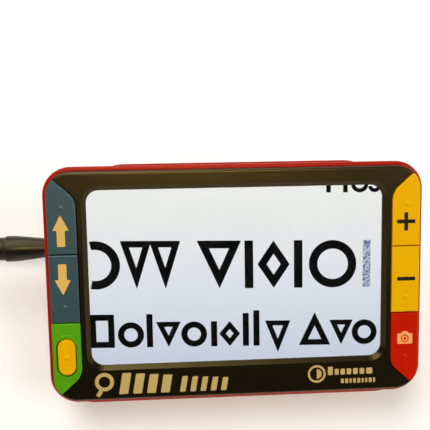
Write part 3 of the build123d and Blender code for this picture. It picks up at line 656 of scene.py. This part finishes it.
# Plain test shapes: a row of large ones, a row of smaller ones and the feet of a row above.
ROW_SLOPE = -0.021       # the picture's rows run down to the right
BIG_LOW = -2.15
BIG_HIGH = 15.75
BIG = 3.2
SMALL_LOW = -24.2
SMALL_HIGH = -11.6
SHORT_HIGH = -14.6
SMALL = 2.3
big_mid = (BIG_LOW + BIG_HIGH) / 2
big_r = (BIG_HIGH - BIG_LOW) / 2
short_r = (SHORT_HIGH - SMALL_LOW) / 2
short_mid = (SHORT_HIGH + SMALL_LOW) / 2
feet_low = screen_high - 1.9
feet_high = screen_high + 1.6


def ring(x, y, r, stroke):
    return [circle(x, y, r), circle(x, y, r - stroke)]


def wedge(x, half, low, high, stroke):
    """Triangle standing on its point."""
    return frame_of([(x, low), (x + half, high), (x - half, high)], stroke)


def peak(x, half, low, high, stroke):
    """Triangle standing on its side."""
    return frame_of([(x - half, low), (x + half, low), (x, high)], stroke)


def diamond(x, half, low, high, stroke):
    mid = (low + high) / 2
    return frame_of([(x, low), (x + half, mid), (x, high), (x - half, mid)], stroke)


def square(x0, x1, low, high, stroke):
    return frame_of([(x0, low), (x1, low), (x1, high), (x0, high)], stroke)


def sloped(loop):
    """An outline moved down by the slope of its row."""
    return [(x, y + ROW_SLOPE * x) for x, y in loop]


test_shapes = [
    [band(-51.7, big_mid, big_r, big_r - BIG, -103, 103)],
    wedge(-36.9, 5.7, BIG_LOW, BIG_HIGH, 2.4),
    wedge(-26.3, 5.7, BIG_LOW, BIG_HIGH, 2.4),
    wedge(-6.4, 8.2, BIG_LOW, BIG_HIGH, 2.9),
    [box(3.0, BIG_LOW, 6.2, BIG_HIGH)],
    diamond(13.8, 6.0, BIG_LOW, BIG_HIGH, 2.8),
    [box(21.4, BIG_LOW, 24.6, BIG_HIGH)],
    ring(36.0, big_mid, big_r, BIG),
    # smaller row
    square(-54.6, -45.6, SMALL_LOW, SMALL_HIGH, SMALL),
    ring(-39.6, short_mid, short_r, SMALL),
    [box(-33.8, SMALL_LOW, -31.5, SMALL_HIGH)],
    wedge(-25.7, 4.6, SMALL_LOW, SHORT_HIGH, 1.9),
    ring(-16.2, short_mid, short_r, SMALL),
    [box(-9.9, SMALL_LOW, -7.6, SHORT_HIGH)],
    diamond(-2.9, 3.9, SMALL_LOW, SHORT_HIGH, 1.9),
    [box(2.0, SMALL_LOW, 4.3, SMALL_HIGH)],
    [box(6.0, SMALL_LOW, 8.3, SMALL_HIGH + 1)],
    wedge(15.2, 4.8, SMALL_LOW - 2.6, SHORT_HIGH, 1.9),
    peak(29.2, 6.0, SMALL_LOW, SMALL_HIGH, 2.2),
    wedge(39.3, 4.5, SMALL_LOW, SHORT_HIGH, 1.9),
    ring(48.2, short_mid, short_r, SMALL),
    # feet of the row above, cut off by the screen's edge
    [box(33.5, feet_low, 35.2, feet_high, 0.1)],
    [box(39.8, feet_low, 41.5, feet_high, 0.1)],
    [band(46.0, screen_high + 1.4, 3.3, 1.8, -178, -2)],
    [band(51.6, screen_high + 0.6, 2.4, 1.0, -175, -5)],
]
test_shapes = [[sloped(loop) for loop in loops] for loops in test_shapes]
pixel_ink = moulded(
    "pixel_ink", srgb(12, 12, 13), 0.7, drift=0.1, grain=0.02, grain_mm=0.5, depth_mm=0.01, spec=0.1
)
shapes_mesh = filled(test_shapes, SHAPES_Z, PICTURE)
add_piece("screen_shapes", shapes_mesh, pixel_ink, "casing")

# the bar at the picture's right-hand edge, broken up into cool grey dots
n = Nodes("pixel_noise")
cells = n.tree.nodes.new("ShaderNodeTexVoronoi")
cells.inputs["Scale"].default_value = 1000 / 0.55
n.link(n.coords.outputs["Object"], cells.inputs["Vector"])
speckle = n.remap(cells.outputs["Color"], 0.15, 0.85, 0.0, 1.0)
mixed = n.mix(speckle, srgb(52, 62, 96), srgb(176, 186, 208))
n.link(mixed, n.shader.inputs["Emission Color"])
n.shader.inputs["Emission Strength"].default_value = 0.9
n.link(mixed, n.shader.inputs["Base Color"])
edge_bar = box(47.4, BIG_LOW - 1.0, 50.3, BIG_HIGH - 1.0, 0.1)
edge_mesh = filled([[edge_bar]], SHAPES_Z, PICTURE)
add_piece("screen_edge_bar", edge_mesh, n.material, "casing")

# ---------------------------------------------------------------- strap round the coil
TIE_CENTRE = Vector((-133.0, -7.0, 4.3))
TIE_HALF = 4.5
TIE_ROWS = (-TIE_HALF, -4.0, -2.0, 0.0, 2.0, 4.0, TIE_HALF)
EDGE_WIDTH = 0.9891      # the outer face draws in a little along both edges of the strap
EDGE_HEIGHT = 0.97
SQUARENESS = 0.34        # 1 gives an ellipse and 0 a rectangle


def strap_section(half_y, half_z, ripple, points=72):
    """Closed line round the bundle, its top rippled over the turns."""
    made = []
    for k in range(points):
        angle = tau * k / points
        c = cos(angle)
        s = sin(angle)
        y = half_y * copysign(abs(c) ** SQUARENESS, c)
        z = half_z * copysign(abs(s) ** SQUARENESS, s)
        if s >= 0:
            z += ripple * cos(6 * pi * y / half_y)
        made.append((y, z))
    return made


def strap_row(x, section, width=1.0, height=1.0):
    """Points of the strap's mesh round one section."""
    return [strap.verts.new(TIE_CENTRE + Vector((x, y * width, z * height))) for y, z in section]


inner = strap_section(10.85, 3.6, 0.06)
outer = strap_section(11.45, 4.28, 0.1)
strap = bmesh.new()
rows = []
for x in TIE_ROWS:
    if abs(x) == TIE_HALF:
        outer_row = strap_row(x, outer, EDGE_WIDTH, EDGE_HEIGHT)
    else:
        outer_row = strap_row(x, outer)
    rows.append((outer_row, strap_row(x, inner)))
for k in range(len(outer)):
    j = (k + 1) % len(outer)
    for (out_a, in_a), (out_b, in_b) in zip(rows, rows[1:]):
        strap.faces.new((out_a[k], out_b[k], out_b[j], out_a[j]))
        strap.faces.new((in_a[j], in_b[j], in_b[k], in_a[k]))
    for out_row, in_row in (rows[0], rows[-1]):
        strap.faces.new((out_row[k], out_row[j], in_row[j], in_row[k]))
bmesh.ops.recalc_face_normals(strap, faces=strap.faces)
strap.transform(Matrix.Scale(0.001, 4))
strap_mesh = bpy.data.meshes.new("strap")
strap.to_mesh(strap_mesh)
strap.free()

n = Nodes("tie_fabric")
waves = []
for axis in ("X", "Y"):
    wave = n.tree.nodes.new("ShaderNodeTexWave")
    wave.bands_direction = axis
    wave.inputs["Scale"].default_value = 1000 / 3.2
    wave.inputs["Distortion"].default_value = 0.6
    n.link(n.coords.outputs["Object"], wave.inputs["Vector"])
    waves.append(wave.outputs["Fac"])
weave = n.product(*waves)
threads = n.mix(weave, srgb(18, 18, 20), srgb(52, 52, 56))
fluff = n.mix(n.remap(n.noise(0.5, 4), 0.5, 0.75, 0.0, 0.6), threads, srgb(70, 70, 74))
n.link(fluff, n.shader.inputs["Base Color"])
n.shader.inputs["Roughness"].default_value = 0.9
n.shader.inputs["Sheen Weight"].default_value = 0.4
n.link(n.bump(weave, 0.6, 0.15), n.shader.inputs["Normal"])
tie = add_piece("strap", strap_mesh, n.material, "power_lead", smooth=True)
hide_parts("cord_tie")

# ---------------------------------------------------------------- floor and light
floor = bmesh.new()
bmesh.ops.create_grid(floor, x_segments=24, y_segments=24, size=4.0)
floor_mesh = bpy.data.meshes.new("table")
floor.to_mesh(floor_mesh)
floor.free()
n = Nodes("table")
shade = n.mix(n.noise(60, 3), (0.92, 0.92, 0.915), (0.95, 0.95, 0.945))
n.link(shade, n.shader.inputs["Base Color"])
n.shader.inputs["Roughness"].default_value = 0.75
n.shader.inputs["Specular IOR Level"].default_value = 0.2
floor_mesh.materials.append(n.material)
table = bpy.data.objects.new("table", floor_mesh)
bpy.context.scene.collection.objects.link(table)


def area_light(name, place, aim, width, height, power, colour):
    light = bpy.data.lights.new(name, "AREA")
    light.shape = "RECTANGLE"
    light.size = width
    light.size_y = height
    light.energy = power
    light.color = colour
    obj = bpy.data.objects.new(name, light)
    bpy.context.scene.collection.objects.link(obj)
    obj.location = place
    obj.rotation_mode = "QUATERNION"
    obj.rotation_quaternion = (Vector(aim) - Vector(place)).to_track_quat("-Z", "Y")


area_light("ceiling", (-0.5, 0.75, 1.5), (0, 0, 0), 1.2, 1.2, 18, (1.0, 0.99, 0.98))
area_light("window", (1.3, -0.3, 1.2), (0, 0, 0), 1.0, 1.0, 11, (0.96, 0.98, 1.0))
area_light("lamp", (0.0, -0.17, 0.95), (0, 0.02, 0.03), 0.45, 0.14, 3.6, (1.0, 0.86, 0.66))
area_light("back", (-0.1, 1.1, 0.7), (0, 0, 0.03), 0.9, 0.4, 5, (1.0, 0.97, 0.95))

# a room that is pale round its walls and dark overhead, by the height of each direction
WALLS_TO = 0.16
DARK_FROM = 0.38
world = bpy.data.worlds.new("room")
bpy.context.scene.world = world
world.use_nodes = True
room = world.node_tree
direction = room.nodes.new("ShaderNodeTexCoord")
parts = room.nodes.new("ShaderNodeSeparateXYZ")
walls = room.nodes.new("ShaderNodeValToRGB")
walls.color_ramp.elements[0].position = WALLS_TO
walls.color_ramp.elements[0].color = (0.9, 0.9, 0.9, 1)
walls.color_ramp.elements[1].position = DARK_FROM
walls.color_ramp.elements[1].color = (0.025, 0.024, 0.022, 1)
room.links.new(direction.outputs["Generated"], parts.inputs[0])
room.links.new(parts.outputs["Z"], walls.inputs["Fac"])
room.links.new(walls.outputs["Color"], room.nodes["Background"].inputs["Color"])
room.nodes["Background"].inputs["Strength"].default_value = 1.0
